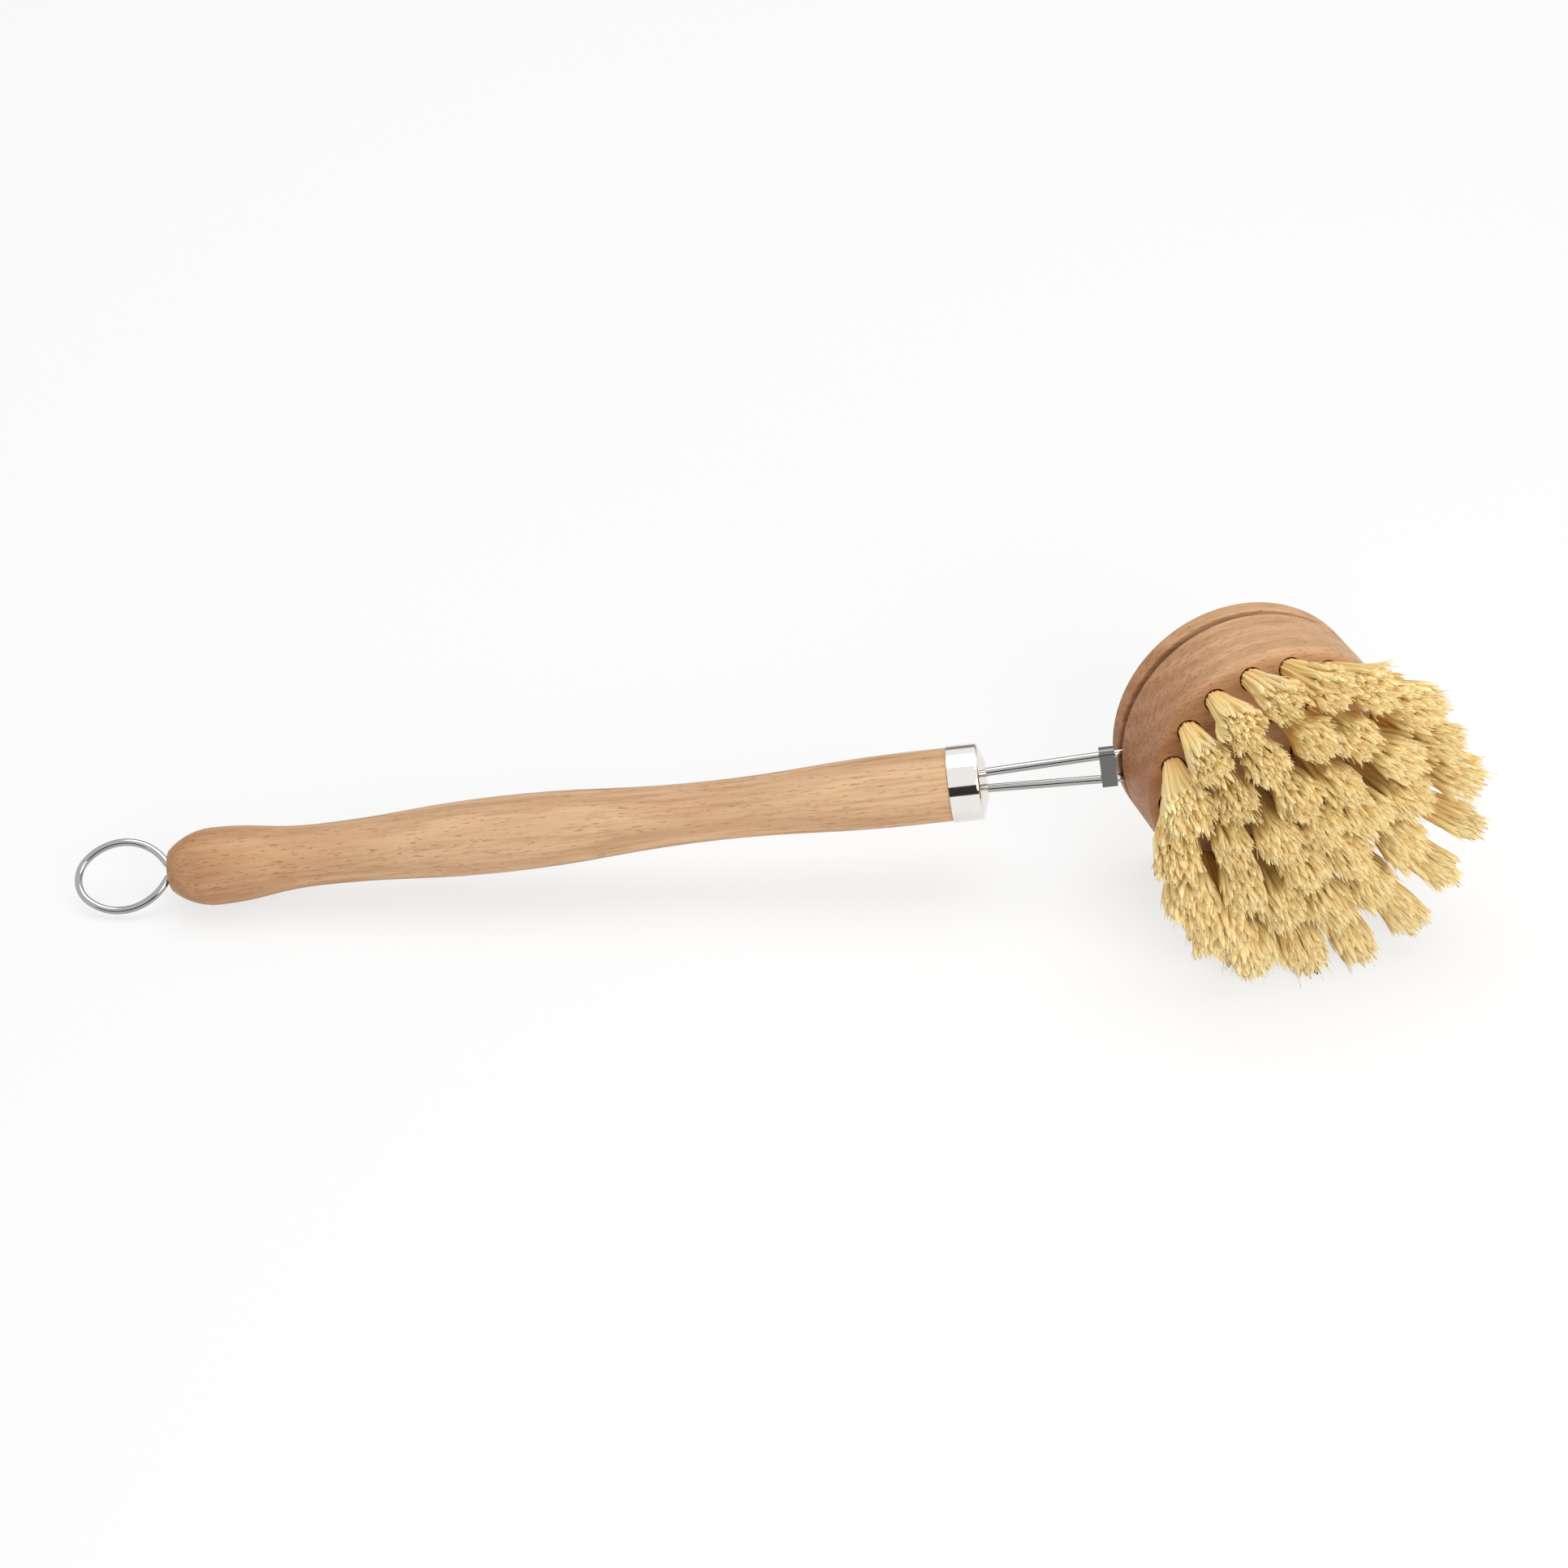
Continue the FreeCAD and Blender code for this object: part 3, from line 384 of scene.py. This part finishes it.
def tube_faces(count, sides, steps, offset):
    # Walls and end caps of tubes of points that follow each other ring by ring.
    first = offset + np.arange(count)[:, None, None] * steps * sides
    ring = np.arange(steps - 1)[None, :, None] * sides
    side = np.arange(sides)[None, None, :]
    after = (side + 1) % sides
    low = first + ring
    high = low + sides
    walls = np.stack([low + side, low + after, high + after, high + side], 3).reshape(-1, 4)
    roots = first[:, 0] + np.arange(sides)[::-1]
    tips = first[:, 0] + (steps - 1) * sides + np.arange(sides)
    return walls.tolist() + roots.tolist() + tips.tolist()


def tube_map(count, sides, steps, columns):
    # Texture map with one upright strip for each tube, in the order of tube_faces.
    rows = math.ceil(count / columns)
    index = np.arange(count)
    corner = np.stack([index % columns, index // columns], 1).astype(float)
    piece = np.array([CELL_FILL / sides, CELL_FILL / steps])
    box = np.array([(0, 0), (1, 0), (1, 1), (0, 1)])
    cap = CAP_MIDDLE + CAP_RADIUS * rim(sides)[:, :2]
    ring, side = np.meshgrid(np.arange(steps - 1), np.arange(sides), indexing="ij")
    places = np.stack([side, ring], 2).reshape(1, -1, 1, 2)
    parts = [corner[:, None, None] + CELL_EDGE + (places + box) * piece]
    for at in (0, steps - 1):
        parts.append(corner[:, None] + CELL_EDGE + (cap + (0, at)) * piece)
    return np.concatenate([part.reshape(-1, 2) for part in parts]) / (columns, rows)


LOCK_FACES = tube_faces(LOCKS, LOCK_SIDES, len(LOCK_STEPS), 0)
FIBRE_FACES = tube_faces(FIBRES, FIBRE_SIDES, FIBRE_STEPS, LOCKS * len(LOCK_STEPS) * LOCK_SIDES)
LOCK_MAP = tube_map(LOCKS, LOCK_SIDES, len(LOCK_STEPS), LOCK_COLUMNS) * (1, LOCK_BAND)
FIBRE_MAP = tube_map(FIBRES, FIBRE_SIDES, FIBRE_STEPS, FIBRE_COLUMNS) * (1, 1 - LOCK_BAND) + (0, LOCK_BAND)


def toward(turn, middle):
    # One at the middle of a part of the ring, falling to zero a quarter of a turn away.
    return max(math.cos(turn - middle), 0)


def tuft_points(rng, ring, turn):
    # Points of a tuft in the frame of the part, and for each point how far along the tuft it lies. The
    # last item is the lock of each loose fibre.
    mouth, radial, around, axis = tuft_axes(ring * TUFT_PITCH, turn)
    basis = np.array([radial, around, axis])
    fan = FAN_RADIUS + rng.normal(0, FAN_SPREAD)
    lean = rng.normal(0, TUFT_LEAN, 2)
    if ring == len(TUFT_RINGS):
        narrow = toward(turn, NARROW_TURN) ** 2
        splay = toward(turn, SPLAY_TURN) ** 2
        tuck = toward(turn, TUCK_TURN) ** 4
        fan += WIDE_FAN * toward(turn, WIDE_TURN) - NARROW_FAN * narrow
        lean += (SPLAY_LEAN * splay + NARROW_LEAN * narrow - TUCK_LEAN * tuck, NARROW_SWING * narrow)
    locks = set_locks(rng, fan, lean)
    skins, skins_along = lock_points(rng, locks, fan)
    strays, strays_along, which = fibre_points(rng, locks, fan)
    points = np.concatenate([skins.reshape(-1, 3), strays.reshape(-1, 3)]) @ basis + np.array(mouth)
    points[:, 2] = np.maximum(points[:, 2], FLOOR_GAP)
    along = [np.repeat(skins_along.ravel(), LOCK_SIDES), np.repeat(strays_along.ravel(), FIBRE_SIDES)]
    return points, np.concatenate(along), which


def tuft_tones(rng, which):
    # Tone of each point: one for each ridge of a lock and for each loose fibre, near that of its lock.
    shade = rng.uniform(0, 1, LOCKS)
    ridges = rng.uniform(0, 1, (LOCKS, 1, LOCK_SIDES))
    skins = np.repeat(TONE_OF_LOCK * shade[:, None, None] + TONE_OF_FIBRE * ridges, len(LOCK_STEPS), 1)
    strays = TONE_OF_LOCK * shade[which] + TONE_OF_FIBRE * rng.uniform(0, 1, FIBRES)
    return np.concatenate([skins.ravel(), np.repeat(strays, FIBRE_STEPS * FIBRE_SIDES)])


def grow_tuft(name, number, ring, turn, material):
    # One tuft of locks and loose fibres, in the place of its plain solid.
    rng = np.random.default_rng(FIRST_SEED + number)
    points, along, which = tuft_points(rng, ring, turn)
    mesh = bpy.data.meshes.new(name + "_fibres")
    mesh.from_pydata(points.tolist(), [], LOCK_FACES + FIBRE_FACES)
    mesh.polygons.foreach_set("use_smooth", np.ones(len(mesh.polygons), bool))
    for label, values in (("tone", tuft_tones(rng, which)), ("along", along)):
        mesh.attributes.new(label, "FLOAT", "POINT").data.foreach_set("value", values.astype(np.float32))
    places = np.concatenate([LOCK_MAP, FIBRE_MAP])
    mesh.uv_layers.new(name="OFBake").data.foreach_set("uv", places.astype(np.float32).ravel())
    mesh.materials.append(material)
    tuft = bpy.data.objects.new(name + "_fibres", mesh)
    bpy.context.scene.collection.objects.link(tuft)
    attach(tuft, "head")
    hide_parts(name)


def dress(name, material):
    mesh = nodes[name].data
    mesh.materials.clear()
    mesh.materials.append(material)


def flat_sheet(name, corners, material):
    mesh = bpy.data.meshes.new(name)
    mesh.from_pydata(corners, [], [(0, 1, 2, 3)])
    mesh.materials.append(material)
    sheet = bpy.data.objects.new(name, mesh)
    bpy.context.scene.collection.objects.link(sheet)
    return sheet


def seen_directly(tree):
    # One for what the camera sees, straight or in metal and glass.
    path = add(tree, "LightPath")
    seen = path.outputs["Is Camera Ray"]
    for kind in ("Is Glossy Ray", "Is Transmission Ray"):
        seen = add(tree, "Math", {0: seen, 1: path.outputs[kind]}, operation="MAXIMUM").outputs["Value"]
    return seen


def floor_material():
    material, tree, shader = new_material("pale_floor")
    tree.nodes.remove(shader)
    paper = add(tree, "BsdfDiffuse", {"Color": FLOOR_COLOUR})
    glow = add(tree, "Emission", {"Color": WHITE, "Strength": 1.0})
    share = add(tree, "Math", {0: seen_directly(tree), 1: FLOOR_GLOW}, operation="MULTIPLY")
    blend = add(tree, "MixShader", {0: share.outputs["Value"], 1: paper.outputs[0], 2: glow.outputs[0]})
    tree.links.new(blend.outputs[0], tree.nodes["Material Output"].inputs["Surface"])
    return material


def upright_card(name, place, top, colour):
    # A card across the scene that shows in metal only.
    material, _, shader = new_material(name)
    shader.inputs["Base Color"].default_value = colour
    shader.inputs["Roughness"].default_value = CARD_ROUGHNESS
    ends = ((CARD_HALF, 0.0), (-CARD_HALF, 0.0), (-CARD_HALF, top), (CARD_HALF, top))
    card = flat_sheet(name, [(x, place, z) for x, z in ends], material)
    card.visible_camera = False
    card.visible_diffuse = False
    card.visible_shadow = False


def light_world():
    world = bpy.data.worlds.new("studio")
    bpy.context.scene.world = world
    world.use_nodes = True
    tree = world.node_tree
    strength = span(tree, seen_directly(tree), 0.0, 1.0, WORLD_LIGHT, WORLD_SEEN)
    connect(tree, strength, tree.nodes["Background"].inputs["Strength"])
    tree.nodes["Background"].inputs["Color"].default_value = WHITE


def soft_box(name, place, target, width, depth, power):
    data = bpy.data.lights.new(name, "AREA")
    data.shape = "RECTANGLE"
    data.size = width
    data.size_y = depth
    data.energy = power
    lamp = bpy.data.objects.new(name, data)
    lamp.location = place
    lamp.rotation_euler = (Vector(target) - Vector(place)).to_track_quat("-Z", "Y").to_euler()
    bpy.context.scene.collection.objects.link(lamp)


def set_camera():
    data = bpy.data.cameras.new("photo_camera")
    data.lens = CAMERA_LENS
    data.sensor_width = CAMERA_SENSOR
    data.clip_start = CAMERA_NEAR
    camera = bpy.data.objects.new("photo_camera", data)
    back = CAMERA_BACK.normalized()
    right = CAMERA_UP.cross(back).normalized()
    look = Matrix((right, back.cross(right), back)).transposed()
    camera.matrix_world = Matrix.Translation(CAMERA_PLACE) @ look.to_4x4()
    bpy.context.scene.collection.objects.link(camera)
    bpy.context.scene.camera = camera


# Wood and metal of the carried-over pieces. The heart of each log lies beside its piece.
handle_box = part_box("handle")
# Each wood's tint is painted shade: it darkens the rear end of the handle and the handle's side of the head.
handle_wood = wood(
    "beech_handle", origin=(handle_box[0] + handle_box[1]) / 2 + Vector((0, 11, -9)) * MM, grain=handle_axis,
    light=(0.69, 0.45, 0.255, 1.0), middle=(0.53, 0.315, 0.165, 1.0), dark=(0.33, 0.155, 0.07, 1.0),
    ring_scale=90.0, painted_shade_tint=(0.84, 0.71, 0.62, 1.0), painted_shade_reach=(-75.0 * MM, -30.0 * MM))
head_wood = wood(
    "beech_head", origin=back_centre + side_axis * 30 * MM, grain=away_axis,
    light=(0.66, 0.40, 0.215, 1.0), middle=(0.50, 0.275, 0.13, 1.0), dark=(0.28, 0.12, 0.05, 1.0),
    ring_scale=70.0, painted_shade_tint=(0.72, 0.56, 0.46, 1.0), painted_shade_reach=(-25.0 * MM, -6.0 * MM))
wire_metal = bright_metal("plated_wire", (0.42, 0.41, 0.40, 1.0), smooth=0.06, dull=0.12)
dress("handle", handle_wood)
dress("head_block", head_wood)
dress("ferrule", bright_metal("plated_cap", (0.86, 0.83, 0.79, 1.0), smooth=0.04, dull=0.08))
dress("locking_sleeve", bright_metal("plated_clip", (0.17, 0.165, 0.16, 1.0), smooth=0.16, dull=0.3))
dress("tuft_anchors", bright_metal("anchor_strip", (0.55, 0.54, 0.52, 1.0), smooth=0.3, dull=0.45))
for name in ("upper_wire_arm", "lower_wire_arm", "hanging_loop"):
    dress(name, wire_metal)

# Tufts, ring by ring.
fibre = plant_fibre()
grow_tuft("tuft_centre", 0, 0, 0.0, fibre)
grown = 1
for ring, (label, count) in enumerate(TUFT_RINGS, start=1):
    for i in range(count):
        grow_tuft("tuft_%s_%02d" % (label, i + 1), grown, ring, 2 * math.pi * i / count, fibre)
        grown += 1

# Floor, cards, light and camera.
floor_corners = [(x * FLOOR_HALF, y * FLOOR_HALF, 0.0) for x, y in ((-1, -1), (1, -1), (1, 1), (-1, 1))]
flat_sheet("floor", floor_corners, floor_material())
upright_card("dark_card", place=-1.15, top=0.62, colour=(0.03, 0.027, 0.025, 1.0))
upright_card("grey_card", place=1.15, top=0.45, colour=(0.35, 0.345, 0.34, 1.0))
light_world()
soft_box("overhead", place=(0.1, 0.32, 1.1), target=(0.02, 0.0, 0.0), width=1.3, depth=0.9, power=7.6)
soft_box("front", place=(0.28, -0.42, 0.27), target=(0.095, -0.02, 0.025), width=0.4, depth=0.3, power=1.7)
set_camera()
bpy.context.scene.view_settings.view_transform = "Standard"
